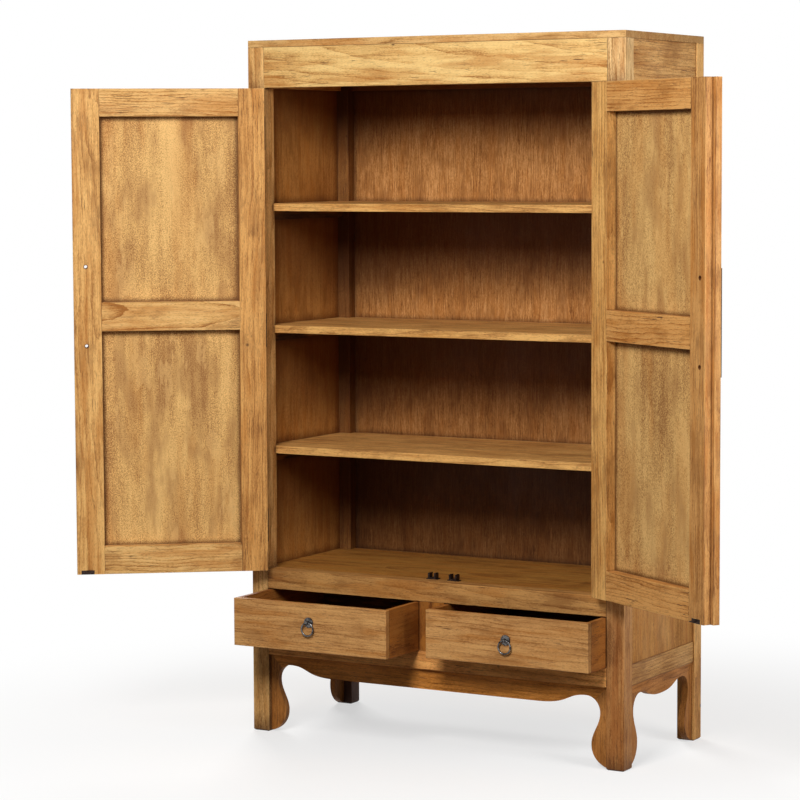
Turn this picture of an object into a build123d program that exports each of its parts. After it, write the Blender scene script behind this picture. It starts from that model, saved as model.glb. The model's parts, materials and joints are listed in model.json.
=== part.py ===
from build123d import *
from dataclasses import dataclass
import os

# A free-standing two-door cabinet with three shelves and two drawers, in frame-and-panel work.
# Millimetres. The origin is on the floor under the middle of the footprint, +X to the right,
# +Y to the back, +Z up. The doors and drawers are built shut and then moved to their rest places.

# ---- overall -------------------------------------------------------------------------------
WIDTH = 1134.0          # across the posts
DEPTH = 488.0           # front of the front posts to the back of the rear posts
HEIGHT = 1900.0         # floor to the top of the top board

# ---- carcass frame -------------------------------------------------------------------------
POST_W = 51.0           # every post, across the front
FRONT_POST_D = 49.0
REAR_POST_D = 45.0
FOOT_CHAMFER = 4.0
TOP_BOARD_T = 19.0
TOP_STUB = 11.0         # stub tenon of a post in the top board
HEADER_H = 109.0
HEADER_T = 28.0
LEG_H = 216.0           # floor to the underside of the lower rails
LOWER_RAIL_H = 51.0
DRAWER_BAY_H = 133.0
DRAWER_RAIL_H = 54.0
SIDE_LOWER_RAIL_H = 56.0
SIDE_RAIL_T = 24.0
SIDE_RAIL_RECESS = 4.0
BACK_RAIL_T = 24.0
SIDE_PANEL_T = 8.0
SIDE_PANEL_RECESS = 7.0
BACK_PANEL_T = 8.0
BACK_PANEL_RECESS = 4.4
DIVIDER_W = 76.0

# ---- joinery and edges ---------------------------------------------------------------------
TENON_L = 24.0
TENON_T = 12.0
TENON_SHOULDER = 8.0    # wood left above and below a tenon
DIVIDER_TENON_L = 16.0
GROOVE = 8.0            # how far a panel reaches into its groove
FIT = 0.2               # clearance round a tenon or a panel
ARRIS = 1.5             # rounding of the edges

# ---- shelves and floor board ---------------------------------------------------------------
FLOOR_BOARD_T = 18.0
SHELF_T = 21.0
SHELF_SET_BACK = 42.0   # front of the posts to the front edge of a shelf
SHELF_FIT = 0.5
LOWER_SHELF_UP = 337.0  # top of the floor board to the top of each shelf
MIDDLE_SHELF_UP = 670.0
UPPER_SHELF_UP = 1004.0
CLEAT_H = 25.0
CLEAT_T = 18.0

# ---- aprons and leg brackets ---------------------------------------------------------------
SKIRT_T = 18.0
FRONT_SKIRT_RECESS = 12.0
SIDE_SKIRT_RECESS = 8.0
FRONT_APRON_H = 55.0
SIDE_APRON_H = 50.0
FRONT_OGEE = 205.0      # from the post to where the front apron's edge runs level
ARCH_OUT = 64.0         # crown of the arch beside each leg, from the post
ARCH_DROP = 27.0        # and below the lower rail
NECK_OUT = 23.0         # narrowest place of a bracket
NECK_UP = 146.0
BELLY_OUT = 48.0        # widest place of a bracket, near the foot
BELLY_UP = 62.0
TOE_OUT = 8.0
TOE_UP = 4.0
TOE_SLOPE = 0.45        # how steeply a bracket's edge leaves its toe

# ---- doors ---------------------------------------------------------------------------------
DOOR_T = 39.0
DOOR_SIDE_GAP = 1.5
DOOR_END_GAP = 2.5      # above and below a door
HINGE_STILE_W = 71.0
MEETING_STILE_W = 75.0
DOOR_TOP_RAIL_H = 75.0
DOOR_MIDDLE_RAIL_H = 78.0
DOOR_MIDDLE_RAIL_UP = 702.5  # top of the floor board to the middle of the middle rail
DOOR_BOTTOM_RAIL_H = 76.0
DOOR_PANEL_T = 7.5
DOOR_PANEL_RECESS = 3.0      # behind the outer face of the frame
LAP = 12.0              # the right door's outer lip covers the left door's inner lip
LIP_T = 18.0            # thickness of the outer lip
LAP_GAP = 1.0           # between the two lips
MEETING_GAP = 2.5
LEFT_DOOR_OPEN = 142.9  # degrees at rest
RIGHT_DOOR_OPEN = 148.2  # degrees at rest

# ---- hinges --------------------------------------------------------------------------------
HINGE_H = 90.0
HINGE_END = 120.0       # end of the door to the middle of its outer hinges
LEAF_W = 34.0
LEAF_T = 2.0
KNUCKLE_R = 4.5
PIVOT_OUT = 5.0         # hinge axis in front of the posts
PIN_R = 2.0
PIN_FIT = 0.05
PIN_HEAD_R = 3.2
PIN_HEAD_H = 1.5
KNUCKLE_GAP = 0.3

# ---- door ironwork -------------------------------------------------------------------------
PLATE_R = 131.0         # the two half plates make one round plate
PLATE_T = 2.5
PLATE_UP = 731.0        # top of the floor board to the middle of the plates
PLATE_EDGE_GAP = 1.0    # edge of the door to the edge of its half plate
DOOR_HOLE_R = 4.5
DOOR_HOLE_OUT = 29.0    # from the middle of the cabinet
DOOR_HOLE_RISE = 107.0  # above and below the middle of the plates
DOOR_PULL_OUT = 70.0    # from the middle of the cabinet
STRIKE_W = 35.0
STRIKE_H = 11.0
STRIKE_T = 2.5
STRIKE_FIT = 0.3
TONGUE_W = 9.0
TONGUE_T = 2.5
TONGUE_L = 16.0
TONGUE_UP = 5.0         # bottom of the door to the underside of the tongue
LEFT_CATCH_OUT = 24.0   # from the middle of the cabinet
RIGHT_CATCH_OUT = 40.0
CATCH_BASE_W = 34.0
CATCH_BASE_T = 2.0
CATCH_W = 23.0
CATCH_D = 18.0
CATCH_H = 17.0
CATCH_SLOT_W = 13.0
CATCH_FLOOR = 2.5       # metal under the slot, above the base
CATCH_BEHIND = 5.0      # back of a closed door to the front of its catch

# ---- drawers -------------------------------------------------------------------------------
DRAWER_SIDE_GAP = 1.5
DRAWER_END_GAP = 2.0    # above and below a drawer front
DRAWER_FRONT_T = 19.0
DRAWER_SIDE_T = 14.0
DRAWER_BACK_T = 14.0
DRAWER_BOTTOM_T = 6.0
DRAWER_BOTTOM_UP = 8.0  # under edge of the sides to the bottom panel
DRAWER_GROOVE = 6.0
DRAWER_TONGUE_T = 7.0   # tongue of a side board in the front board
DRAWER_BACK_GAP = 8.0   # back of a closed drawer to the back rail
DRAWER_RUN_GAP = 0.3
DRAWER_BACK_DROP = 10.0  # the back is lower than the sides
LEFT_DRAWER_OUT = 175.0
RIGHT_DRAWER_OUT = 103.0
RUNNER_H = 22.0
RUNNER_LAP = 6.0        # runner past the inside of the drawer side
GUIDE_H = 30.0
GUIDE_GAP = 1.5

# ---- ring pulls ----------------------------------------------------------------------------
ROSETTE_R = 13.5
ROSETTE_T = 2.0
ROSETTE_DOME = 1.6
ROSETTE_DOME_R = 10.8
EYE_OUT = 8.0           # face of the wood to the ring's axis
EYE_W = 5.0
EYE_R = 4.6
RING_R = 17.6           # middle line of the wire
RING_WIRE_R = 2.3
RING_FIT = 0.25
LEFT_PULL_UP = 349.0    # floor to the ring's axis
RIGHT_PULL_UP = 336.0

LEFT, RIGHT = -1, 1
NAMES = {LEFT: "left", RIGHT: "right"}

# ---- places worked out from the sizes --------------------------------------------------------
HALF_W = WIDTH / 2
FRONT = -DEPTH / 2
BACK = DEPTH / 2
HALF_OPENING = HALF_W - POST_W
FRONT_POST_BACK = FRONT + FRONT_POST_D
REAR_POST_FRONT = BACK - REAR_POST_D
POST_TOP = HEIGHT - TOP_BOARD_T
LOWER_RAIL_TOP = LEG_H + LOWER_RAIL_H
DRAWER_RAIL_BOTTOM = LOWER_RAIL_TOP + DRAWER_BAY_H
FLOOR_TOP = DRAWER_RAIL_BOTTOM + DRAWER_RAIL_H
HEADER_BOTTOM = POST_TOP - HEADER_H
SIDE_PANEL_INSIDE = HALF_W - SIDE_PANEL_RECESS - SIDE_PANEL_T
BACK_RAIL_FRONT = BACK - BACK_RAIL_T
BACK_PANEL_FRONT = BACK - BACK_PANEL_RECESS - BACK_PANEL_T
DOOR_BACK = FRONT + DOOR_T
DOOR_BOTTOM = FLOOR_TOP + DOOR_END_GAP
DOOR_TOP = HEADER_BOTTOM - DOOR_END_GAP
PLATE_Z = FLOOR_TOP + PLATE_UP
PIVOT_Y = FRONT - PIVOT_OUT
PIVOT_X = HALF_OPENING - DOOR_SIDE_GAP / 2
DOOR_OPEN = {LEFT: LEFT_DOOR_OPEN, RIGHT: RIGHT_DOOR_OPEN}
DRAWER_OUT = {LEFT: LEFT_DRAWER_OUT, RIGHT: RIGHT_DRAWER_OUT}
PULL_Z = {LEFT: LEFT_PULL_UP, RIGHT: RIGHT_PULL_UP}
CATCH_OUT = {LEFT: LEFT_CATCH_OUT, RIGHT: RIGHT_CATCH_OUT}


def block(x, y, z):
    """A box from three (low, high) spans."""
    size = [abs(s[1] - s[0]) for s in (x, y, z)]
    middle = [(s[0] + s[1]) / 2 for s in (x, y, z)]
    return Pos(*middle) * Box(*size)


def across(side, near, far):
    """The x span between two distances from the middle of the cabinet, on one side of it."""
    return (min(side * near, side * far), max(side * near, side * far))


def grow(span, amount):
    """A (low, high) span made longer at both ends."""
    return (span[0] - amount, span[1] + amount)


def rounded(solid, edges, radius=ARRIS):
    """The solid with some of its edges rounded."""
    return fillet(edges, radius) if edges else solid


def stick(x, y, z, along, radius=ARRIS):
    """A straight piece of wood with its four long edges rounded."""
    solid = block(x, y, z)
    return rounded(solid, solid.edges().filter_by(along), radius)


@dataclass(frozen=True)
class Rail:
    """A rail between two uprights, with a tenon at each end."""

    x: tuple
    y: tuple
    z: tuple
    along: Axis

    def tenons(self, fit=0.0):
        """The two tenons; with a fit they are the mortises that take them."""
        z = grow(self.z, fit - TENON_SHOULDER)
        if self.along == Axis.X:
            middle = sum(self.y) / 2
            y = (middle - TENON_T / 2 - fit, middle + TENON_T / 2 + fit)
            ends = [(self.x[0] - TENON_L - fit, self.x[0]), (self.x[1], self.x[1] + TENON_L + fit)]
            return [block(end, y, z) for end in ends]
        middle = sum(self.x) / 2
        x = (middle - TENON_T / 2 - fit, middle + TENON_T / 2 + fit)
        ends = [(self.y[0] - TENON_L - fit, self.y[0]), (self.y[1], self.y[1] + TENON_L + fit)]
        return [block(x, end, z) for end in ends]

    def solid(self, grooves=()):
        """The rail with its tenons, less the grooves for its panels."""
        made = stick(self.x, self.y, self.z, self.along)
        for tenon in self.tenons():
            made += tenon
        for groove in grooves:
            made -= groove
        return made


@dataclass(frozen=True)
class Panel:
    """A flat panel, given by the opening it fills and its own thickness."""

    x: tuple
    y: tuple
    z: tuple
    thin: str

    def spans(self, extra):
        """The spans of the panel with its edges reaching into the frame."""
        reach = {"x": (self.x, grow(self.y, extra), grow(self.z, extra)),
                 "y": (grow(self.x, extra), self.y, grow(self.z, extra))}
        return reach[self.thin]

    def solid(self):
        """The panel itself."""
        return block(*self.spans(GROOVE))

    def groove(self):
        """The room it takes in the frame around it."""
        x, y, z = self.spans(GROOVE + 2 * FIT)
        return block(grow(x, FIT), y, z) if self.thin == "x" else block(x, grow(y, FIT), z)


def group(solids):
    """Separate solids kept together under one name."""
    return Compound(children=list(solids))


# ---- carcass frame -------------------------------------------------------------------------
FRONT_RAILS = {
    "header_rail": Rail((-HALF_OPENING, HALF_OPENING), (FRONT, FRONT + HEADER_T),
                        (HEADER_BOTTOM, POST_TOP), Axis.X),
    "drawer_rail": Rail((-HALF_OPENING, HALF_OPENING), (FRONT, FRONT_POST_BACK),
                        (DRAWER_RAIL_BOTTOM, FLOOR_TOP), Axis.X),
    "front_lower_rail": Rail((-HALF_OPENING, HALF_OPENING), (FRONT, FRONT_POST_BACK),
                             (LEG_H, LOWER_RAIL_TOP), Axis.X),
}
BACK_RAILS = [Rail((-HALF_OPENING, HALF_OPENING), (BACK_RAIL_FRONT, BACK), z, Axis.X)
              for z in ((LEG_H, LOWER_RAIL_TOP), (DRAWER_RAIL_BOTTOM, FLOOR_TOP),
                        (HEADER_BOTTOM, POST_TOP))]
SIDE_RAIL_LEVELS = ((LEG_H, LEG_H + SIDE_LOWER_RAIL_H), (HEADER_BOTTOM, POST_TOP))
BACK_PANEL_Y = (BACK_PANEL_FRONT, BACK_PANEL_FRONT + BACK_PANEL_T)
BACK_PANELS = [Panel((-HALF_OPENING, HALF_OPENING), BACK_PANEL_Y, z, "y")
               for z in ((LOWER_RAIL_TOP, DRAWER_RAIL_BOTTOM), (FLOOR_TOP, HEADER_BOTTOM))]


def side_rails(side):
    """The top and lower rails of one side."""
    outer = HALF_W - SIDE_RAIL_RECESS
    x = across(side, outer - SIDE_RAIL_T, outer)
    y = (FRONT_POST_BACK, REAR_POST_FRONT)
    return [Rail(x, y, z, Axis.Y) for z in SIDE_RAIL_LEVELS]


def side_panel(side):
    """The panel between the side rails."""
    x = across(side, SIDE_PANEL_INSIDE, SIDE_PANEL_INSIDE + SIDE_PANEL_T)
    z = (SIDE_RAIL_LEVELS[0][1], SIDE_RAIL_LEVELS[1][0])
    return Panel(x, (FRONT_POST_BACK, REAR_POST_FRONT), z, "x")


def post_spans(side, rear):
    """The x and y spans of a post."""
    y = (REAR_POST_FRONT, BACK) if rear else (FRONT, FRONT_POST_BACK)
    return across(side, HALF_OPENING, HALF_W), y


def post_stub(side, rear, fit=0.0):
    """The stub on top of a post that enters the top board."""
    x, y = (grow(span, fit - TENON_SHOULDER) for span in post_spans(side, rear))
    return block(x, y, (POST_TOP - fit, POST_TOP + TOP_STUB + fit))


def post(side, rear):
    """A leg post in one piece from the floor to the top board, mortised and grooved."""
    x, y = post_spans(side, rear)
    made = block(x, y, (0, POST_TOP))
    made = chamfer(made.faces().sort_by(Axis.Z)[0].edges(), FOOT_CHAMFER)
    made = rounded(made, made.edges().filter_by(Axis.Z))
    made += post_stub(side, rear)
    rails = (BACK_RAILS if rear else list(FRONT_RAILS.values())) + side_rails(side)
    for rail in rails:
        for mortise in rail.tenons(FIT):
            made -= mortise
    made -= side_panel(side).groove()
    if rear:
        for panel in BACK_PANELS:
            made -= panel.groove()
    return made


def top_board():
    """The board that closes the top, with blind sockets for the posts."""
    made = block((-HALF_W, HALF_W), (FRONT, BACK), (POST_TOP, HEIGHT))
    made = rounded(made, made.edges())
    for side in (LEFT, RIGHT):
        for rear in (False, True):
            made -= post_stub(side, rear, FIT)
    return made


def divider_tenons(fit=0.0):
    """Stub tenons above and below the drawer divider."""
    half = DIVIDER_W / 2 - TENON_SHOULDER + fit
    middle = (FRONT + FRONT_POST_BACK) / 2
    y = (middle - TENON_T / 2 - fit, middle + TENON_T / 2 + fit)
    reach = DIVIDER_TENON_L + fit
    return [block((-half, half), y, (LOWER_RAIL_TOP - reach, LOWER_RAIL_TOP)),
            block((-half, half), y, (DRAWER_RAIL_BOTTOM, DRAWER_RAIL_BOTTOM + reach))]


def drawer_divider():
    """The upright between the two drawers."""
    made = stick((-DIVIDER_W / 2, DIVIDER_W / 2), (FRONT, FRONT_POST_BACK),
                 (LOWER_RAIL_TOP, DRAWER_RAIL_BOTTOM), Axis.Z)
    for tenon in divider_tenons():
        made += tenon
    return made


def floor_board():
    """The floor of the cupboard, flush with the drawer rail and notched round the rear posts."""
    made = block(grow((-SIDE_PANEL_INSIDE, SIDE_PANEL_INSIDE), -SHELF_FIT),
                 (FRONT_POST_BACK, BACK_RAIL_FRONT - FIT), (FLOOR_TOP - FLOOR_BOARD_T, FLOOR_TOP))
    for side in (LEFT, RIGHT):
        x, y = (grow(span, SHELF_FIT) for span in post_spans(side, True))
        made -= block(x, y, (0, POST_TOP))
    return made


def shelf(top):
    """A fixed shelf, notched round the four posts."""
    made = block(grow((-SIDE_PANEL_INSIDE, SIDE_PANEL_INSIDE), -SHELF_FIT),
                 (FRONT + SHELF_SET_BACK, BACK_PANEL_FRONT - SHELF_FIT), (top - SHELF_T, top))
    made = rounded(made, made.edges().filter_by(Axis.X).group_by(Axis.Y)[0])
    for side in (LEFT, RIGHT):
        for rear in (False, True):
            x, y = (grow(span, SHELF_FIT) for span in post_spans(side, rear))
            made -= block(x, y, (0, POST_TOP))
    return made


SHELF_TOPS = {"lower_shelf": FLOOR_TOP + LOWER_SHELF_UP, "middle_shelf": FLOOR_TOP + MIDDLE_SHELF_UP,
              "upper_shelf": FLOOR_TOP + UPPER_SHELF_UP}


def shelf_cleats():
    """The cleats under both ends of every shelf."""
    y = (FRONT_POST_BACK, REAR_POST_FRONT)
    for top in SHELF_TOPS.values():
        z = (top - SHELF_T - CLEAT_H, top - SHELF_T)
        for side in (LEFT, RIGHT):
            yield block(across(side, SIDE_PANEL_INSIDE - CLEAT_T, SIDE_PANEL_INSIDE), y, z)


# ---- drawer housing ------------------------------------------------------------------------
DRAWER_NEAR = DIVIDER_W / 2 + DRAWER_SIDE_GAP       # a drawer's inner side, from the middle
DRAWER_FAR = HALF_OPENING - DRAWER_SIDE_GAP         # and its outer side
BEARER_BOTTOM = DRAWER_RAIL_BOTTOM
GUIDE_INNER = HALF_OPENING - DRAWER_SIDE_GAP + GUIDE_GAP


def drawer_runners():
    """What the drawers run on: an L runner at each side and a T runner behind the divider."""
    z = (LOWER_RAIL_TOP - RUNNER_H, LOWER_RAIL_TOP)
    guide_z = (LOWER_RAIL_TOP, LOWER_RAIL_TOP + GUIDE_H)
    for side in (LEFT, RIGHT):
        y = (FRONT_POST_BACK, REAR_POST_FRONT)
        outer = HALF_W - SIDE_RAIL_RECESS - SIDE_RAIL_T
        inner = DRAWER_FAR - DRAWER_SIDE_T - RUNNER_LAP
        yield (block(across(side, inner, outer), y, z)
               + block(across(side, GUIDE_INNER, outer), y, guide_z))
    y = (FRONT_POST_BACK, BACK_RAIL_FRONT)
    half = DRAWER_NEAR + DRAWER_SIDE_T + RUNNER_LAP
    guide = DRAWER_NEAR - GUIDE_GAP
    yield block((-half, half), y, z) + block((-guide, guide), y, guide_z)


def floor_bearers():
    """The bearers that carry the floor board and keep a pulled drawer from tipping."""
    z = (BEARER_BOTTOM, FLOOR_TOP - FLOOR_BOARD_T)
    for side in (LEFT, RIGHT):
        inner = DRAWER_FAR - DRAWER_SIDE_T - RUNNER_LAP
        yield block(across(side, inner, SIDE_PANEL_INSIDE), (FRONT_POST_BACK, REAR_POST_FRONT), z)
    half = DRAWER_NEAR + DRAWER_SIDE_T + RUNNER_LAP
    yield block((-half, half), (FRONT_POST_BACK, BACK_RAIL_FRONT), z)


# ---- aprons and leg brackets ---------------------------------------------------------------
def skirt_half(half, apron_h, ogee):
    """Half of an apron with the bracket at its end, drawn in the XZ plane from the middle out."""
    level = LEG_H - apron_h
    toe = (half - TOE_OUT, TOE_UP)
    belly = (half - BELLY_OUT, BELLY_UP)
    neck = (half - NECK_OUT, NECK_UP)
    crown = (half - ARCH_OUT, LEG_H - ARCH_DROP)
    dip = (half - ogee, level)
    curve = Spline(toe, belly, neck, crown, dip,
                   tangents=((-1, TOE_SLOPE), (0, 1), (0, 1), (-1, 0), (-1, 0)))
    rest = [Line((half, LEG_H), (half, TOE_UP)), Line((half, TOE_UP), toe), curve]
    if half - ogee > ARRIS:
        rest.append(Line(dip, (0, level)))
    rest += [Line(rest[-1] @ 1, (0, LEG_H)), Line((0, LEG_H), (half, LEG_H))]
    return make_face(Wire(rest))


def skirt(half, apron_h, ogee):
    """An apron and its two brackets, cut apart at the mitres: (apron, near bracket, far bracket)."""
    face = Plane.XZ * skirt_half(half, apron_h, ogee)
    half_board = extrude(face, SKIRT_T, dir=(0, 1, 0))
    board = half_board + mirror(half_board, about=Plane.YZ)
    corner = Polyline((half, LEG_H), (half, -TOE_UP), (half - LEG_H - TOE_UP, -TOE_UP), close=True)
    far_cut = extrude(Plane.XZ * make_face(corner), SKIRT_T, dir=(0, 1, 0))
    near_cut = mirror(far_cut, about=Plane.YZ)
    return board - far_cut - near_cut, board & near_cut, board & far_cut


def front_skirt():
    """The front apron and its brackets in place."""
    return [Pos(0, FRONT + FRONT_SKIRT_RECESS, 0) * piece
            for piece in skirt(HALF_OPENING, FRONT_APRON_H, FRONT_OGEE)]


def side_skirt(side):
    """One side's apron and its brackets in place, the front bracket first."""
    half = (REAR_POST_FRONT - FRONT_POST_BACK) / 2
    middle = (REAR_POST_FRONT + FRONT_POST_BACK) / 2
    outer = HALF_W - SIDE_SKIRT_RECESS
    place = Pos(side * outer, middle, 0) * Rot(0, 0, side * 90)
    apron, near, far = (place * piece for piece in skirt(half, SIDE_APRON_H, half))
    return (apron, near, far) if side == RIGHT else (apron, far, near)


# ---- doors ---------------------------------------------------------------------------------
def opened(side, solid):
    """A piece of a closed door, turned to the angle at which the door rests."""
    pivot = Pos(side * PIVOT_X, PIVOT_Y, 0)
    return pivot * Rot(0, 0, side * DOOR_OPEN[side]) * pivot.inverse() * solid


@dataclass(frozen=True)
class Door:
    """One closed door; its pieces are turned open when they are handed over."""

    side: int

    def x(self, near, far):
        """The x span between two distances from the edge of the opening, hinge side first."""
        return across(self.side, HALF_OPENING - near, HALF_OPENING - far)

    def inner_edge(self):
        """Where the inner layer of the meeting stile ends."""
        return HALF_OPENING - self.side * LAP / 2 - MEETING_GAP / 2

    def outer_edge(self):
        """Where the outer layer of the meeting stile ends."""
        return HALF_OPENING + self.side * LAP / 2 - MEETING_GAP / 2

    def field(self):
        """The span between the two stiles."""
        far = max(self.inner_edge(), self.outer_edge())
        return self.x(DOOR_SIDE_GAP + HINGE_STILE_W, far - MEETING_STILE_W)

    def rails(self):
        """The bottom, middle and top rails."""
        y = (FRONT, DOOR_BACK)
        middle = FLOOR_TOP + DOOR_MIDDLE_RAIL_UP
        levels = ((DOOR_BOTTOM, DOOR_BOTTOM + DOOR_BOTTOM_RAIL_H),
                  (middle - DOOR_MIDDLE_RAIL_H / 2, middle + DOOR_MIDDLE_RAIL_H / 2),
                  (DOOR_TOP - DOOR_TOP_RAIL_H, DOOR_TOP))
        return [Rail(self.field(), y, z, Axis.X) for z in levels]

    def panels(self):
        """The lower and upper panels."""
        bottom, middle, top = self.rails()
        y = (FRONT + DOOR_PANEL_RECESS, FRONT + DOOR_PANEL_RECESS + DOOR_PANEL_T)
        return [Panel(self.field(), y, z, "y")
                for z in ((bottom.z[1], middle.z[0]), (middle.z[1], top.z[0]))]

    def hole_cutters(self):
        """The two holes through the meeting stile and its plate."""
        for rise in (-DOOR_HOLE_RISE, DOOR_HOLE_RISE):
            place = Pos(self.side * DOOR_HOLE_OUT, FRONT + DOOR_T / 2, PLATE_Z + rise)
            yield place * Rot(90, 0, 0) * Cylinder(DOOR_HOLE_R, DOOR_T * 2)

    def framed(self, stile):
        """A stile with its mortises and panel grooves."""
        for rail in self.rails():
            for mortise in rail.tenons(FIT):
                stile -= mortise
        for panel in self.panels():
            stile -= panel.groove()
        return stile

    def hinge_stile(self):
        """The stile that carries the hinges."""
        x = self.x(DOOR_SIDE_GAP, DOOR_SIDE_GAP + HINGE_STILE_W)
        return self.framed(stick(x, (FRONT, DOOR_BACK), (DOOR_BOTTOM, DOOR_TOP), Axis.Z))

    def meeting_stile(self):
        """The stile at the middle of the cabinet, rebated to lap with the other door."""
        near, far = sorted((self.inner_edge(), self.outer_edge()))
        z = (DOOR_BOTTOM, DOOR_TOP)
        made = stick(self.x(far - MEETING_STILE_W, far), (FRONT, DOOR_BACK), z, Axis.Z)
        rebate_y = (FRONT + LIP_T, DOOR_BACK) if self.side == RIGHT else (FRONT, FRONT + LIP_T + LAP_GAP)
        made -= block(self.x(near, far), rebate_y, z)
        for hole in self.hole_cutters():
            made -= hole
        x = grow(self.strike_x(), STRIKE_FIT)
        made -= block(x, (DOOR_BACK - STRIKE_T, DOOR_BACK),
                      (DOOR_BOTTOM, DOOR_BOTTOM + STRIKE_H + STRIKE_FIT))
        return self.framed(made)

    def strike_x(self):
        """The x span of the strike, over its catch."""
        middle = self.side * CATCH_OUT[self.side]
        return (middle - STRIKE_W / 2, middle + STRIKE_W / 2)

    def strike(self):
        """The strike let into the bottom of the meeting stile, with its tongue."""
        middle = self.side * CATCH_OUT[self.side]
        plate = block(self.strike_x(), (DOOR_BACK - STRIKE_T, DOOR_BACK),
                      (DOOR_BOTTOM, DOOR_BOTTOM + STRIKE_H))
        low = DOOR_BOTTOM + TONGUE_UP
        return plate + block((middle - TONGUE_W / 2, middle + TONGUE_W / 2),
                             (DOOR_BACK - STRIKE_T, DOOR_BACK + TONGUE_L), (low, low + TONGUE_T))

    def plate_edge(self):
        """The distance from the middle of the cabinet to the straight edge of the half plate."""
        return HALF_OPENING - self.outer_edge() + PLATE_EDGE_GAP

    def plate(self):
        """The half-round iron plate on the outer face, with the eye for its ring."""
        disc = Pos(0, FRONT - PLATE_T / 2, PLATE_Z) * Rot(90, 0, 0) * Cylinder(PLATE_R, PLATE_T)
        z = (PLATE_Z - PLATE_R, PLATE_Z + PLATE_R)
        made = disc & block(across(self.side, self.plate_edge(), PLATE_R), (FRONT - PLATE_T, FRONT), z)
        for hole in self.hole_cutters():
            made -= hole
        return made + ring_eye(self.side * DOOR_PULL_OUT, FRONT - PLATE_T, PLATE_Z)

    def ring(self):
        """The ring pull of the door."""
        return ring(self.side * DOOR_PULL_OUT, FRONT - PLATE_T, PLATE_Z)

    def hinge_levels(self):
        """The middles of the three hinges."""
        return (DOOR_BOTTOM + HINGE_END, (DOOR_BOTTOM + DOOR_TOP) / 2, DOOR_TOP - HINGE_END)

    def leaves(self, on_post):
        """Three hinge leaves: two outer knuckles on a post's leaf, the middle one on a door's."""
        for middle in self.hinge_levels():
            yield hinge_leaf(self.side, middle, on_post)


def knuckle(side, z):
    """One knuckle of a hinge, bored for the pin."""
    height = z[1] - z[0]
    place = Pos(side * PIVOT_X, PIVOT_Y, sum(z) / 2)
    return place * (Cylinder(KNUCKLE_R, height) - Cylinder(PIN_R + PIN_FIT, height))


def hinge_leaf(side, middle, on_post):
    """A leaf flat on the wood, with a web to its knuckles."""
    third = HINGE_H / 3
    low = middle - HINGE_H / 2
    levels = ([(low, low + third), (low + 2 * third, low + HINGE_H)] if on_post
              else [(low + third + KNUCKLE_GAP, low + 2 * third - KNUCKLE_GAP)])
    root = KNUCKLE_R + KNUCKLE_GAP
    start, end = (root, LEAF_W) if on_post else (-root, -LEAF_W)
    made = block(across(side, PIVOT_X + start, PIVOT_X + end), (FRONT - LEAF_T, FRONT),
                 (low, low + HINGE_H))
    bore = Pos(side * PIVOT_X, PIVOT_Y, middle) * Cylinder(PIN_R + PIN_FIT, HINGE_H)
    for z in levels:
        made += block(across(side, PIVOT_X, PIVOT_X + start), (PIVOT_Y, FRONT - LEAF_T / 2), z)
        made += knuckle(side, z)
        made -= bore
    return made


def hinge_pin(side, middle):
    """A pin with a head at each end."""
    shank = Cylinder(PIN_R, HINGE_H + 2 * KNUCKLE_GAP)
    rise = HINGE_H / 2 + KNUCKLE_GAP + PIN_HEAD_H / 2
    heads = Pos(0, 0, rise) * Cylinder(PIN_HEAD_R, PIN_HEAD_H)
    heads += Pos(0, 0, -rise) * Cylinder(PIN_HEAD_R, PIN_HEAD_H)
    return Pos(side * PIVOT_X, PIVOT_Y, middle) * (shank + heads)


def floor_catch(side):
    """The catch on the floor board that takes a door's tongue."""
    middle = side * CATCH_OUT[side]
    front = DOOR_BACK + CATCH_BEHIND
    y = (front, front + CATCH_D)
    made = block((middle - CATCH_BASE_W / 2, middle + CATCH_BASE_W / 2), y,
                 (FLOOR_TOP, FLOOR_TOP + CATCH_BASE_T))
    made += block((middle - CATCH_W / 2, middle + CATCH_W / 2), y, (FLOOR_TOP, FLOOR_TOP + CATCH_H))
    slot_bottom = FLOOR_TOP + CATCH_BASE_T + CATCH_FLOOR
    made -= block((middle - CATCH_SLOT_W / 2, middle + CATCH_SLOT_W / 2), y,
                  (slot_bottom, FLOOR_TOP + CATCH_H))
    return made


# ---- ring pulls ----------------------------------------------------------------------------
def ring_room(x, face, z):
    """The room a ring's wire needs in its eye, which grows with the wire's bend."""
    bend = EYE_W**2 / (8 * RING_R)
    radius = RING_WIRE_R + RING_FIT + bend
    return Pos(x, face - EYE_OUT, z) * Rot(0, 90, 0) * Cylinder(radius, 2 * EYE_W)


def ring_eye(x, face, z):
    """The eye that a ring hangs in, on a face that looks to the front."""
    stem = block((x - EYE_W / 2, x + EYE_W / 2), (face - EYE_OUT, face), (z - EYE_R, z + EYE_R))
    barrel = Pos(x, face - EYE_OUT, z) * Rot(0, 90, 0) * Cylinder(EYE_R, EYE_W)
    return stem + barrel - ring_room(x, face, z)


def ring(x, face, z):
    """A ring hanging straight down in its eye."""
    return Pos(x, face - EYE_OUT, z - RING_R) * Rot(90, 0, 0) * Torus(RING_R, RING_WIRE_R)


def rosette(x, face, z):
    """The domed round plate of a drawer pull, with its eye."""
    disc = Pos(x, face - ROSETTE_T / 2, z) * Rot(90, 0, 0) * Cylinder(ROSETTE_R, ROSETTE_T)
    dome = Pos(x, face - ROSETTE_T, z) * Rot(90, 0, 0) * Cone(
        ROSETTE_DOME_R, EYE_R, ROSETTE_DOME, align=(Align.CENTER, Align.CENTER, Align.MIN))
    return disc + dome + ring_eye(x, face, z) - ring_room(x, face, z)


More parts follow.
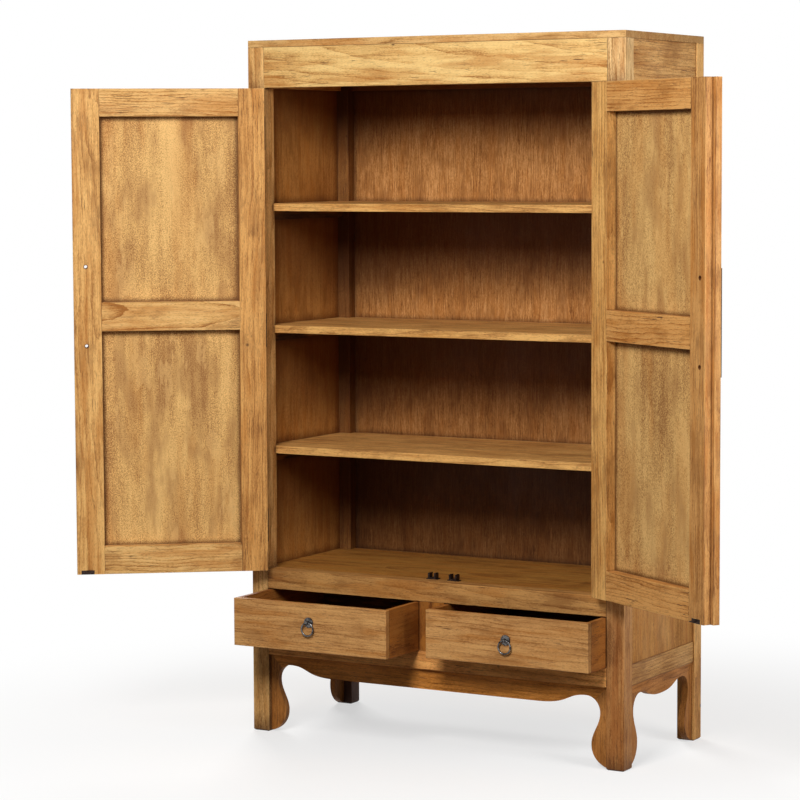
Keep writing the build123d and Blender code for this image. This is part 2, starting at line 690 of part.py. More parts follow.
# ---- drawers -------------------------------------------------------------------------------
@dataclass(frozen=True)
class Drawer:
    """One drawer, built shut and then pulled out to where it rests."""

    side: int

    front_z = (LOWER_RAIL_TOP + DRAWER_END_GAP, DRAWER_RAIL_BOTTOM - DRAWER_END_GAP)
    side_z = (LOWER_RAIL_TOP + DRAWER_RUN_GAP, DRAWER_RAIL_BOTTOM - DRAWER_END_GAP)
    back_y = BACK_RAIL_FRONT - DRAWER_BACK_GAP
    front_back = FRONT + DRAWER_FRONT_T

    def pulled(self, solid):
        """A piece of the shut drawer, moved out with it."""
        return Pos(0, -DRAWER_OUT[self.side], 0) * solid

    def bottom_panel(self, extra=0.0):
        """The bottom in its grooves; with an extra it is the grooves."""
        inset = DRAWER_SIDE_T - DRAWER_GROOVE - extra
        x = across(self.side, DRAWER_NEAR + inset, DRAWER_FAR - inset)
        low = self.side_z[0] + DRAWER_BOTTOM_UP
        y = (self.front_back - DRAWER_GROOVE - extra, self.back_y - inset)
        return block(x, y, (low - extra, low + DRAWER_BOTTOM_T + extra))

    def side_tongue(self, near, fit=0.0):
        """The tongue of one side board in the back of the front board."""
        middle = near + DRAWER_SIDE_T / 2
        half = DRAWER_TONGUE_T / 2 + fit
        x = across(self.side, middle - half, middle + half)
        z = (self.front_z[0] + TENON_SHOULDER - fit, self.front_z[1] - TENON_SHOULDER + fit)
        return block(x, (self.front_back - DRAWER_GROOVE - fit, self.front_back), z)

    def side_nears(self):
        """The inner edge of each side board, from the middle of the cabinet."""
        return (DRAWER_NEAR, DRAWER_FAR - DRAWER_SIDE_T)

    def front(self):
        """The front board."""
        made = block(across(self.side, DRAWER_NEAR, DRAWER_FAR), (FRONT, self.front_back), self.front_z)
        made = rounded(made, made.edges())
        for near in self.side_nears():
            made -= self.side_tongue(near, FIT)
        return self.pulled(made - self.bottom_panel(FIT))

    def sides(self):
        """The two side boards."""
        for near in self.side_nears():
            made = block(across(self.side, near, near + DRAWER_SIDE_T), (self.front_back, self.back_y),
                         self.side_z)
            made = rounded(made, made.edges().filter_by(Axis.Y))
            made = made + self.side_tongue(near) - self.bottom_panel(FIT)
            yield self.pulled(made)

    def back(self):
        """The back board between the sides."""
        x = across(self.side, DRAWER_NEAR + DRAWER_SIDE_T, DRAWER_FAR - DRAWER_SIDE_T)
        made = block(x, (self.back_y - DRAWER_BACK_T, self.back_y),
                     (self.side_z[0], self.side_z[1] - DRAWER_BACK_DROP))
        return self.pulled(made - self.bottom_panel(FIT))

    def pull_x(self):
        """The middle of the drawer front."""
        return self.side * (DRAWER_NEAR + DRAWER_FAR) / 2


# ---- hand over -----------------------------------------------------------------------------
def carcass_nodes():
    """Every fixed node, by name."""
    nodes = {}
    for side, name in NAMES.items():
        nodes[f"front_{name}_post"] = post(side, False)
        nodes[f"rear_{name}_post"] = post(side, True)
        groove = side_panel(side).groove()
        nodes[f"{name}_side_rails"] = group(rail.solid([groove]) for rail in side_rails(side))
        nodes[f"{name}_side_panel"] = side_panel(side).solid()
    nodes["top_board"] = top_board()
    for name, rail in FRONT_RAILS.items():
        nodes[name] = rail.solid(divider_tenons(FIT))
    back_grooves = [panel.groove() for panel in BACK_PANELS]
    nodes["back_rails"] = group(rail.solid(back_grooves) for rail in BACK_RAILS)
    nodes["back_panels"] = group(panel.solid() for panel in BACK_PANELS)
    nodes["drawer_divider"] = drawer_divider()
    nodes["floor_board"] = floor_board()
    for name, top in SHELF_TOPS.items():
        nodes[name] = shelf(top)
    nodes["shelf_cleats"] = group(shelf_cleats())
    nodes["drawer_runners"] = group(drawer_runners())
    nodes["floor_bearers"] = group(floor_bearers())
    nodes["front_apron"], left_bracket, right_bracket = front_skirt()
    nodes["front_left_bracket"] = left_bracket
    nodes["front_right_bracket"] = right_bracket
    brackets = []
    for side, name in NAMES.items():
        nodes[f"{name}_apron"], front_bracket, rear_bracket = side_skirt(side)
        brackets += [front_bracket, rear_bracket]
    nodes["side_brackets"] = group(brackets)
    nodes["floor_catches"] = group(floor_catch(side) for side in NAMES)
    nodes["post_hinge_leaves"] = group(leaf for side in NAMES for leaf in Door(side).leaves(True))
    nodes["hinge_pins"] = group(hinge_pin(side, z) for side in NAMES for z in Door(side).hinge_levels())
    return nodes


def door_nodes(side):
    """Every node of one door, by name."""
    door, name = Door(side), NAMES[side]
    grooves = [panel.groove() for panel in door.panels()]
    nodes = {
        f"{name}_hinge_stile": door.hinge_stile(),
        f"{name}_meeting_stile": door.meeting_stile(),
        f"{name}_door_rails": group(rail.solid(grooves) for rail in door.rails()),
        f"{name}_door_panels": group(panel.solid() for panel in door.panels()),
        f"{name}_door_hinge_leaves": group(door.leaves(False)),
        f"{name}_door_plate": door.plate(),
        f"{name}_door_strike": door.strike(),
        f"{name}_door_ring": door.ring(),
    }
    return {node: opened(side, solid) for node, solid in nodes.items()}


def drawer_nodes(side):
    """Every node of one drawer, by name."""
    drawer, name = Drawer(side), NAMES[side]
    x, z = drawer.pull_x(), PULL_Z[side]
    return {
        f"{name}_drawer_front": drawer.front(),
        f"{name}_drawer_sides": group(drawer.sides()),
        f"{name}_drawer_back": drawer.back(),
        f"{name}_drawer_bottom": drawer.pulled(drawer.bottom_panel()),
        f"{name}_drawer_rosette": drawer.pulled(rosette(x, FRONT, z)),
        f"{name}_drawer_ring": drawer.pulled(ring(x, FRONT, z)),
    }


def main():
    """Write one STEP file for each node."""
    os.makedirs("parts", exist_ok=True)
    nodes = carcass_nodes()
    for side in NAMES:
        nodes |= door_nodes(side) | drawer_nodes(side)
    for name, solid in nodes.items():
        export_step(solid, f"parts/{name}.step")


main()
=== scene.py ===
"""Looks of a two-door wooden cabinet: waxed wood, dark iron, a pale studio and a camera."""

import json
import logging
import math
import random
from dataclasses import dataclass, field
from enum import Enum

import bpy
from mathutils import Euler, Matrix, Vector


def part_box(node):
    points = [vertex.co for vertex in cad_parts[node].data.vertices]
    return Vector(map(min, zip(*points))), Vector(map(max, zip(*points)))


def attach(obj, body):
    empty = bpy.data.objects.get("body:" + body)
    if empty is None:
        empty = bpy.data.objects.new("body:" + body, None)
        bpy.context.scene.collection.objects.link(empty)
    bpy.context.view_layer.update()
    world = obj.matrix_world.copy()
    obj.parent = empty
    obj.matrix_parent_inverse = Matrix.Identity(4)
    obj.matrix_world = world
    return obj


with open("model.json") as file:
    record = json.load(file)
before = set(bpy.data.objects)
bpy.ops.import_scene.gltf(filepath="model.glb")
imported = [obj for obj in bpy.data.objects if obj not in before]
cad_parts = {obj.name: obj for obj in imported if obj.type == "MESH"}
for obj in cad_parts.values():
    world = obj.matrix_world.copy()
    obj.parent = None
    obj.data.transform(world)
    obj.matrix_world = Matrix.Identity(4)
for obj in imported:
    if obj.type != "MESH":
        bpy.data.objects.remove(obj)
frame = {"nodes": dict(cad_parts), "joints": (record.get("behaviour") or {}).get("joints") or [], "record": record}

LOG = logging.getLogger("cabinet")
MM = 0.001
SIDES = {"left": -1, "right": 1}
HEADS_TREE = "fastener_heads"
LOG_LENGTH_MM = 9000.0            # how far along one long log the pieces are cut from each other
HEART_ASIDE_MM = 45.0             # the heart of the log, beside the middle of a piece
HEART_DEPTH_MM = (55.0, 140.0)    # the heart, in front of a piece or behind it
WANDER_MM = (420.0, 80.0)         # the heart wanders slowly along the log
WANDER_BY_MM = 46.0
FRAY_MM = (45.0, 7.0)             # the rings fray at their edges
FRAY_BY_MM = 7.0
RING_STRETCH = 0.03               # a ring hardly changes along the log
RING_POWER = 4.0                  # a ring darkens late and ends sharply
NOISE_ROUGHNESS = 0.6
FEW_OCTAVES = 1.0                 # octaves of a noise: pores are plain blots, clouds have fine edges
SOME_OCTAVES = 2.0
MORE_OCTAVES = 3.0
MOST_OCTAVES = 4.0
MIDDLE = 0.5                      # the middle value of a pattern
ARRIS_RAYS = 4                    # rays that look for an arris, a corner, and a board above
CORNER_RAYS = 6
SHADE_RAYS = 8


def srgb(code: str) -> tuple:
    """Turn a colour written as sRGB hex into the linear colour that nodes take.

    Args:
        code: Six hex digits after a hash sign.

    Returns:
        Linear red, green and blue with an alpha of 1.
    """
    parts = [int(code[i:i + 2], 16) / 255 for i in (1, 3, 5)]
    linear = [p / 12.92 if p <= 0.04045 else ((p + 0.055) / 1.055) ** 2.4 for p in parts]
    return (*linear, 1.0)


def add_node(tree: bpy.types.NodeTree, kind: str, links: dict | None = None, **settings) -> bpy.types.Node:
    """Add one node with its settings, values and links.

    Args:
        tree: The node tree that gets the node.
        kind: The node's Blender type.
        links: Input name or number to a value, to a socket, or to a node whose first output is meant.
        settings: Properties of the node itself.

    Returns:
        The new node.
    """
    node = tree.nodes.new(kind)
    for name, value in settings.items():
        setattr(node, name, value)
    for key, value in (links or {}).items():
        if isinstance(value, bpy.types.Node):
            value = value.outputs[0]
        if isinstance(value, bpy.types.NodeSocket):
            tree.links.new(value, node.inputs[key])
        else:
            node.inputs[key].default_value = value
    return node


def new_material(name: str) -> tuple:
    """Make an empty node material.

    Args:
        name: The material's name.

    Returns:
        The material and its node tree.
    """
    material = bpy.data.materials.new(name)
    material.use_nodes = True
    material.node_tree.nodes.clear()
    return material, material.node_tree


def directly_seen(tree: bpy.types.NodeTree) -> bpy.types.Node:
    """Tell rays that end in the camera, also by way of gloss or glass, from those that only light.

    Args:
        tree: The node tree.

    Returns:
        A node that gives 1 for what is seen.
    """
    rays = add_node(tree, "ShaderNodeLightPath").outputs
    seen = rays["Is Camera Ray"]
    for other in ("Is Glossy Ray", "Is Transmission Ray"):
        seen = add_node(tree, "ShaderNodeMath", {0: seen, 1: rays[other]}, operation="MAXIMUM")
    return seen


def dress(piece: bpy.types.Object, material: bpy.types.Material) -> None:
    """Give a piece one material in every slot it has, and report it.

    Args:
        piece: The mesh object.
        material: Its finish.
    """
    if not piece.material_slots:
        piece.data.materials.append(material)
    for slot in piece.material_slots:
        slot.material = material
    LOG.info("%s: %s", piece.name, material.name)


class Grain(Enum):
    """The way the fibres of a piece run, before its door or drawer is opened."""

    ACROSS = Matrix.Identity(3)
    DEEP = Matrix.Rotation(math.radians(-90), 3, "Z")
    UPRIGHT = Matrix.Rotation(math.radians(90), 3, "Y")

    def turned(self, angle: float) -> Matrix:
        """Return the rotation that brings the fibres to X, for a piece turned about Z by an angle."""
        return self.value @ Matrix.Rotation(-angle, 3, "Z")


@dataclass
class WoodLayers:
    """The layers of one piece's wood: the bare tone, and what is laid over it in turn."""

    tree: bpy.types.NodeTree
    along: bpy.types.NodeSocket
    colour: bpy.types.NodeSocket | None = None

    def drawn(self, size_mm: tuple, detail: float = SOME_OCTAVES) -> bpy.types.Node:
        """Draw a noise out along the fibres.

        Args:
            size_mm: Length and width of one blotch.
            detail: Octaves of the noise.

        Returns:
            The noise node.
        """
        length, width = size_mm
        scaled = add_node(self.tree, "ShaderNodeMapping", {"Vector": self.along,
                          "Scale": (1 / length, 1 / width, 1 / width)})
        return add_node(self.tree, "ShaderNodeTexNoise", {"Vector": scaled, "Scale": 1.0,
                        "Detail": detail, "Roughness": NOISE_ROUGHNESS})

    def stain(self, code: str, value: bpy.types.Node | bpy.types.NodeSocket, reach: tuple, share: float,
              within: bpy.types.Node | None = None, blend: str = "MIX") -> bpy.types.Node:
        """Lay a stain over the wood.

        Args:
            code: The stain's hex colour.
            value: What says where it lies.
            reach: The value at which it starts, and the one at which it is full. Either may be lower.
            share: How much it covers at its fullest.
            within: A mask that it keeps to.
            blend: How it lies on the wood: over it, or multiplied in, which darkens it as painted shade.

        Returns:
            The mask of the stain.
        """
        mask = add_node(self.tree, "ShaderNodeMapRange", {"Value": value, "From Min": reach[0],
                        "From Max": reach[1], "To Max": share}, interpolation_type="SMOOTHSTEP")
        if within is not None:
            mask = add_node(self.tree, "ShaderNodeMath", {0: mask, 1: within}, operation="MULTIPLY")
        mix = add_node(self.tree, "ShaderNodeMix", {0: mask, 6: self.colour, 7: srgb(code)},
                       data_type="RGBA", blend_type=blend)
        self.colour = mix.outputs[2]
        return mask

    def patches(self, size_mm: tuple, reach: tuple) -> bpy.types.Node:
        """Draw soft-edged patches, as a mask that is full where their noise passes the reach."""
        return add_node(self.tree, "ShaderNodeMapRange", {"Value": self.drawn(size_mm),
                        "From Min": reach[0], "From Max": reach[1]}, interpolation_type="SMOOTHSTEP")

    def rings(self, ring_mm: float) -> bpy.types.Node:
        """Draw growth rings round a slightly wandering heart; each darkens outwards and ends sharply.

        Args:
            ring_mm: Width of one ring.

        Returns:
            The pattern, 1 where a ring ends.
        """
        shape = self.along
        for size_mm, by_mm in ((WANDER_MM, WANDER_BY_MM), (FRAY_MM, FRAY_BY_MM)):
            shape = add_node(self.tree, "ShaderNodeVectorMath",
                             {0: self.drawn(size_mm).outputs["Color"], 1: (0, by_mm, by_mm), 2: shape},
                             operation="MULTIPLY_ADD")
        flat = add_node(self.tree, "ShaderNodeVectorMath", {0: shape, 1: (RING_STRETCH, 1, 1)},
                        operation="MULTIPLY")
        radius = add_node(self.tree, "ShaderNodeVectorMath", {0: flat}, operation="LENGTH")
        count = add_node(self.tree, "ShaderNodeMath", {0: radius.outputs["Value"], 1: ring_mm},
                         operation="DIVIDE")
        ring = add_node(self.tree, "ShaderNodeMath", {0: count}, operation="FRACT")
        return add_node(self.tree, "ShaderNodeMath", {0: ring, 1: RING_POWER}, operation="POWER")

    def mixed(self, parts: tuple, start: float | bpy.types.NodeSocket) -> bpy.types.Node:
        """Add up patterns about their middle.

        Args:
            parts: Pairs of a pattern and its share.
            start: The tone that they vary.

        Returns:
            The sum.
        """
        total = start
        for pattern, share in parts:
            centred = add_node(self.tree, "ShaderNodeMath", {0: pattern, 1: MIDDLE},
                               operation="SUBTRACT")
            total = add_node(self.tree, "ShaderNodeMath", {0: centred, 1: share, 2: total},
                             operation="MULTIPLY_ADD")
        return total


@dataclass(frozen=True)
class WaxedWood:
    """Old planed hardwood, wiped with brown glaze and waxed: warm and satin, cloudy where the glaze
    was rubbed thin, speckled by its open pores, and dark in its seams and cracks. Painted shade
    darkens its corners, what lies under a board, and its lower part."""

    name: str
    # Tones and stains.
    pale: str = "#dfac69"
    base: str = "#c28d50"
    deep: str = "#926131"
    pore: str = "#54311a"
    dirt_and_shade: str = "#5d2f12"
    foot_shade: str = "#bcaea3"
    amber: str = "#b5702a"
    tone_stops: tuple = (0.27, 0.5, 0.74)
    # The figure. A size is the length and width of one blotch, a span where a stain starts and is full.
    ring_mm: float = 9.0
    ring_share: float = 0.25
    streak_mm: tuple = (380.0, 13.0)
    streak_share: float = 0.75
    fibre_mm: tuple = (55.0, 2.2)     # drawn coarser than real fibres, which would not show
    fibre_share: float = 0.5
    speckle_mm: tuple = (7.0, 2.4)    # drawn coarser than real pores, which would not show
    speckle_share: float = 0.55
    cloud_mm: tuple = (170.0, 90.0)
    cloud_share: float = 0.75
    amber_mm: tuple = (260.0, 32.0)
    amber_span: tuple = (0.48, 0.64)
    amber_share: float = 0.45
    glaze_mm: tuple = (110.0, 45.0)
    glaze_span: tuple = (0.53, 0.68)
    glaze_share: float = 0.5
    glaze_speckle: float = 0.5        # how far the speckle breaks up the glaze
    rub_mm: tuple = (150.0, 55.0)
    rub_span: tuple = (0.60, 0.625)
    rub_share: float = 0.0
    rub_fibre: float = 0.12           # how far the fibres break up the rubbed patches
    pore_mm: tuple = (11.0, 1.7)      # drawn coarser than real pores, which would not show
    pore_span: tuple = (0.58, 0.68)
    pore_share: float = 0.32
    crack_mm: tuple = (55.0, 2.0)
    crack_span: tuple = (0.6, 0.65)
    crack_share: float = 0.85
    crack_patch_mm: tuple = (130.0, 70.0)
    crack_patch_span: tuple = (0.52, 0.6)
    knot_gap_mm: float = 110.0
    knot_mm: float = 4.5
    knot_span: tuple = (1.6, 0.6)     # times the knot's size
    knot_share: float = 0.85
    # Age and use, and painted shade.
    end_span: tuple = (0.75, 0.95)
    end_share: float = 0.5
    wear_mm: float = 3.0
    wear_span: tuple = (0.95, 0.5)
    wear_share: float = 0.75
    line_span: tuple = (0.95, 0.6)
    line_share: float = 0.5
    rubbed_span: tuple = (0.44, 0.52)
    # Dirt in seams and corners; with a long reach it is painted shade that darkens recesses and the wood near
    # other parts.
    dirt_and_shade_reach_mm: float = 5.5
    dirt_and_shade_span: tuple = (0.97, 0.5)
    dirt_and_shade_share: float = 0.75
    dirt_and_shade_speckle: float = 0.3         # how far the speckle and the clouds break up the dirt and painted shade
    dirt_and_shade_cloud: float = 0.35
    # Painted shade under a board above, found by rays cast upwards.
    shade_mm: float = 300.0
    shade_span: tuple = (0.4, 0.04)
    shade_share: float = 0.0
    rim_mm: tuple = (7.5, 5.0)
    rim_share: float = 0.9
    # Painted shade: the wood darkens towards the floor.
    foot_shade_share: float = 0.0
    foot_shade_mm: float = 480.0
    # Gloss and relief.
    roughness: tuple = (0.66, 0.5)
    gloss_span: tuple = (0.3, 0.7)
    relief_mm: float = 0.5
    relief_strength: float = 0.6
    relief_speckle: float = 0.8       # shares of the relief, next to the fibres; what sinks is below 0
    relief_pore: float = -1.0
    relief_crack: float = -1.5
    refraction: float = 1.5
    specular: float = 0.2

    def surface(self, layers: WoodLayers, tone: str) -> dict:
        """Lay down the wood itself: its tone, glaze, pores, cracks and knots.

        Args:
            layers: The layers to add to.
            tone: The board's own middle tone, as a hex colour.

        Returns:
            The patterns that relief, gloss and dirt go by.
        """
        tree = layers.tree
        ring = layers.rings(self.ring_mm)
        streak = layers.drawn(self.streak_mm, MORE_OCTAVES)
        fibre = layers.drawn(self.fibre_mm)
        speckle = layers.drawn(self.speckle_mm)
        cloud = layers.drawn(self.cloud_mm, MOST_OCTAVES)
        figure = layers.mixed(((ring, -self.ring_share), (streak, self.streak_share),
                               (fibre, self.fibre_share), (speckle, self.speckle_share),
                               (cloud, self.cloud_share)), MIDDLE)
        ramp = add_node(tree, "ShaderNodeValToRGB", {"Fac": figure})
        stops = ramp.color_ramp.elements
        low, middle, high = self.tone_stops
        stops[1].position = high
        stops.new(middle)
        stops[0].position = low
        gain = [own / usual for own, usual in zip(srgb(tone), srgb(self.base))]
        for stop, code in zip(stops, (self.deep, self.base, self.pale)):
            stop.color = [part * factor for part, factor in zip(srgb(code), gain)]
        layers.colour = ramp.outputs["Color"]

        layers.stain(self.amber, layers.drawn(self.amber_mm, MORE_OCTAVES), self.amber_span,
                     self.amber_share)
        glaze = layers.mixed(((layers.drawn(self.glaze_mm, MORE_OCTAVES), 1.0),
                              (speckle, self.glaze_speckle)), MIDDLE)
        layers.stain(self.deep, glaze, self.glaze_span, self.glaze_share)
        rubbed = layers.mixed(((layers.drawn(self.rub_mm, MORE_OCTAVES), 1.0),
                               (fibre, self.rub_fibre)), MIDDLE)
        layers.stain(self.pale, rubbed, self.rub_span, self.rub_share)
        pore = layers.stain(self.pore, layers.drawn(self.pore_mm, FEW_OCTAVES), self.pore_span,
                            self.pore_share)
        crack = layers.stain(self.pore, layers.drawn(self.crack_mm, MORE_OCTAVES), self.crack_span,
                             self.crack_share, layers.patches(self.crack_patch_mm, self.crack_patch_span))
        cells = add_node(tree, "ShaderNodeTexVoronoi", {"Vector": layers.along,
                         "Scale": 1 / self.knot_gap_mm})
        knot = [share * self.knot_mm / self.knot_gap_mm for share in self.knot_span]
        layers.stain(self.pore, cells.outputs["Distance"], knot, self.knot_share)
        return {"streak": streak, "fibre": fibre, "speckle": speckle, "cloud": cloud, "pore": pore,
                "crack": crack}

    def age(self, layers: WoodLayers, patterns: dict, coords: bpy.types.Node, turn: Matrix,
            holes: tuple) -> None:
        """Lay down what age and use did, and painted shade: end grain, pale arrises, dirt and shade in corners,
        shade under boards and towards the floor, dark hole rims.

        Args:
            layers: The layers to add to.
            patterns: The patterns of the wood itself.
            coords: The texture coordinates.
            turn: Rotation that brings the fibres to X.
            holes: Pairs of a point and a direction for each bore, in metres.
        """
        tree = layers.tree
        facing = add_node(tree, "ShaderNodeMapping", {"Vector": coords.outputs["Normal"],
                          "Rotation": turn.to_euler()}, vector_type="VECTOR")
        split = add_node(tree, "ShaderNodeSeparateXYZ", {0: facing})
        end_on = add_node(tree, "ShaderNodeMath", {0: split}, operation="ABSOLUTE")
        layers.stain(self.deep, end_on, self.end_span, self.end_share)

        arris = add_node(tree, "ShaderNodeAmbientOcclusion", {"Distance": self.wear_mm * MM},
                         samples=ARRIS_RAYS, inside=True, only_local=True)
        rubbed = add_node(tree, "ShaderNodeMapRange", {"Value": patterns["streak"],
                          "From Min": self.rubbed_span[0], "From Max": self.rubbed_span[1]})
        kept = add_node(tree, "ShaderNodeMath", {0: 1.0, 1: rubbed}, operation="SUBTRACT")
        layers.stain(self.pale, arris.outputs["AO"], self.wear_span, self.wear_share, rubbed)
        layers.stain(self.pore, arris.outputs["AO"], self.line_span, self.line_share, kept)

        # Dirt and painted shade in corners and recesses.
        open_sky = add_node(tree, "ShaderNodeAmbientOcclusion",
                            {"Distance": self.dirt_and_shade_reach_mm * MM}, samples=CORNER_RAYS)
        corner = layers.mixed(((patterns["speckle"], self.dirt_and_shade_speckle),
                               (patterns["cloud"], self.dirt_and_shade_cloud)), open_sky.outputs["AO"])
        layers.stain(self.dirt_and_shade, corner, self.dirt_and_shade_span, self.dirt_and_shade_share)

        # Painted shade under a board above.
        if self.shade_share:
            upwards = add_node(tree, "ShaderNodeCombineXYZ", {"Z": 1.0})
            above = add_node(tree, "ShaderNodeAmbientOcclusion", {"Distance": self.shade_mm * MM,
                             "Normal": upwards}, samples=SHADE_RAYS)
            layers.stain(self.dirt_and_shade, above.outputs["AO"], self.shade_span, self.shade_share)

        for centre, axis in holes:
            arm = add_node(tree, "ShaderNodeVectorMath", {0: coords.outputs["Object"], 1: centre},
                           operation="SUBTRACT")
            off_axis = add_node(tree, "ShaderNodeVectorMath", {0: arm, 1: axis},
                                operation="CROSS_PRODUCT")
            radius = add_node(tree, "ShaderNodeVectorMath", {0: off_axis}, operation="LENGTH")
            rim = [distance * MM for distance in self.rim_mm]
            layers.stain(self.dirt_and_shade, radius.outputs["Value"], rim, self.rim_share)

        # Painted shade: darker towards the floor.
        place = add_node(tree, "ShaderNodeSeparateXYZ", {0: coords.outputs["Object"]})
        layers.stain(self.foot_shade, place.outputs["Z"], (self.foot_shade_mm * MM, 0.0), self.foot_shade_share,
                     blend="MULTIPLY")

    def material(self, piece: str, tone: str, turn: Matrix, offset: Vector,
                 holes: tuple = ()) -> bpy.types.Material:
        """Make the finish for one piece.

        Args:
            piece: The piece's name, which names the material.
            tone: The board's own middle tone, as a hex colour.
            turn: Rotation that brings the fibres to X.
            offset: Place of the piece in its log, in millimetres.
            holes: Pairs of a point and a direction for each bore, in metres.

        Returns:
            The material.
        """
        material, tree = new_material(f"{self.name}_{piece}")
        coords = add_node(tree, "ShaderNodeTexCoord")
        log = add_node(tree, "ShaderNodeMapping", {"Vector": coords.outputs["Object"],
                       "Location": offset, "Rotation": turn.to_euler(), "Scale": (1 / MM,) * 3})
        layers = WoodLayers(tree, log.outputs[0])
        patterns = self.surface(layers, tone)
        self.age(layers, patterns, coords, turn, holes)

        gloss = add_node(tree, "ShaderNodeMapRange", {"Value": patterns["cloud"],
                         "From Min": self.gloss_span[0], "From Max": self.gloss_span[1],
                         "To Min": self.roughness[0], "To Max": self.roughness[1]})
        height = layers.mixed(((patterns["fibre"], 1.0), (patterns["speckle"], self.relief_speckle),
                               (patterns["pore"], self.relief_pore),
                               (patterns["crack"], self.relief_crack)), MIDDLE)
        bump = add_node(tree, "ShaderNodeBump", {"Height": height, "Strength": self.relief_strength,
                        "Distance": self.relief_mm * MM})
        shader = add_node(tree, "ShaderNodeBsdfPrincipled", {"Base Color": layers.colour,
                          "Roughness": gloss, "Normal": bump, "IOR": self.refraction,
                          "Specular IOR Level": self.specular})
        add_node(tree, "ShaderNodeOutputMaterial", {"Surface": shader})
        return material


@dataclass(frozen=True)
class ForgedIron:
    """Forged iron, blackened and waxed: dark, uneven, rubbed to a dull grey on the high places."""

    name: str = "blackened_iron"
    dark: str = "#34312e"
    rubbed: str = "#716c66"
    rust: str = "#3a2a20"
    hammer_mm: float = 11.0
    tone_span: tuple = (0.3, 0.85)
    pit_mm: float = 2.4               # drawn coarser than real pits, which would not show
    rust_span: tuple = (0.55, 0.7)
    rust_share: float = 0.6
    roughness: tuple = (0.62, 0.4)
    gloss_span: tuple = (0.3, 0.7)
    metallic: float = 0.85
    relief_mm: float = 0.6
    relief_strength: float = 0.35

    def material(self) -> bpy.types.Material:
        """Make the metal that a set of pieces shares.

        Returns:
            The material.
        """
        material, tree = new_material(self.name)
        coords = add_node(tree, "ShaderNodeTexCoord")
        hammer = add_node(tree, "ShaderNodeTexNoise", {"Vector": coords.outputs["Object"],
                          "Scale": 1 / (self.hammer_mm * MM), "Detail": MORE_OCTAVES})
        pits = add_node(tree, "ShaderNodeTexNoise", {"Vector": coords.outputs["Object"],
                        "Scale": 1 / (self.pit_mm * MM), "Detail": SOME_OCTAVES})
        ramp = add_node(tree, "ShaderNodeValToRGB", {"Fac": hammer})
        stops = ramp.color_ramp.elements
        for stop, position, code in zip(stops, self.tone_span, (self.dark, self.rubbed)):
            stop.position = position
            stop.color = srgb(code)
        rusty = add_node(tree, "ShaderNodeMapRange", {"Value": pits, "From Min": self.rust_span[0],
                         "From Max": self.rust_span[1], "To Max": self.rust_share})
        colour = add_node(tree, "ShaderNodeMix", {0: rusty, 6: ramp, 7: srgb(self.rust)},
                          data_type="RGBA").outputs[2]
        rough = add_node(tree, "ShaderNodeMapRange", {"Value": hammer, "From Min": self.gloss_span[0],
                         "From Max": self.gloss_span[1], "To Min": self.roughness[0],
                         "To Max": self.roughness[1]})
        bump = add_node(tree, "ShaderNodeBump", {"Height": hammer, "Strength": self.relief_strength,
                        "Distance": self.relief_mm * MM})
        shader = add_node(tree, "ShaderNodeBsdfPrincipled", {"Base Color": colour, "Roughness": rough,
                          "Metallic": self.metallic, "Normal": bump})
        add_node(tree, "ShaderNodeOutputMaterial", {"Surface": shader})
        return material


# Forged iron that nobody touches: matt, brown-black, hardly mirrors. The rings and rosettes, worn
# bright by hands: nearly black with sharp glints. Browned steel: dark, a little smoother.
IRON = ForgedIron(dark="#231913", rubbed="#4d4038", roughness=(0.72, 0.55), metallic=0.6)
HANDLED_IRON = ForgedIron("handled_iron", dark="#19181b", rubbed="#8a8886", hammer_mm=6.0,
                          roughness=(0.36, 0.2), metallic=1.0)
BROWNED_STEEL = ForgedIron("browned_steel", dark="#1b1210", rubbed="#4a3a33", roughness=(0.6, 0.45))

# Planed frame members: satin, streaked along the fibres, thin dark lines in the seams, darker towards the floor as
# painted shade.
FRAME_WOOD = WaxedWood("waxed_frame_wood", fibre_share=0.7, dirt_and_shade_share=0.5, foot_shade_share=0.6)
# Front posts: paler than the doors, with painted shade reaching far out of the corners and greying them towards
# the foot.
LEFT_POST_WOOD = WaxedWood("waxed_left_post_wood", pale="#f3c17b", base="#d49f5e", deep="#a06e3a",
                           dirt_and_shade="#47240d", dirt_and_shade_reach_mm=80.0, dirt_and_shade_span=(0.95, 0.45), dirt_and_shade_share=0.9,
                           fibre_share=0.35, crack_share=0.5, foot_shade_share=0.15)
RIGHT_POST_WOOD = WaxedWood("waxed_right_post_wood", pale="#f6cf92", base="#dbb076", deep="#a3753f",
                            dirt_and_shade="#47240d", dirt_and_shade_reach_mm=80.0, dirt_and_shade_span=(0.95, 0.45),
                            foot_shade="#c4a384", foot_shade_share=1.0, foot_shade_mm=1500.0)
# Rails: each board has its own tone; the low rail is a brighter copy, as painted light; the header and the door
# rails show their cracks.
LIT_LOW_RAIL_WOOD = WaxedWood("lit_low_rail_wood", pale="#ffb969", base="#e09750", deep="#a86930")
HEADER_WOOD = WaxedWood("waxed_header_wood", pale="#f0c982", base="#ddaf6a", deep="#a77339",
                        glaze_share=0.25, crack_share=1.0)
TOP_WOOD = WaxedWood("waxed_top_wood", pale="#dfb272", base="#cc9b5d", deep="#996830")
DOOR_RAIL_WOOD = WaxedWood("waxed_door_rail_wood", pale="#ddac68", base="#c99452", deep="#925a24",
                           ring_share=0.4, crack_share=1.0)
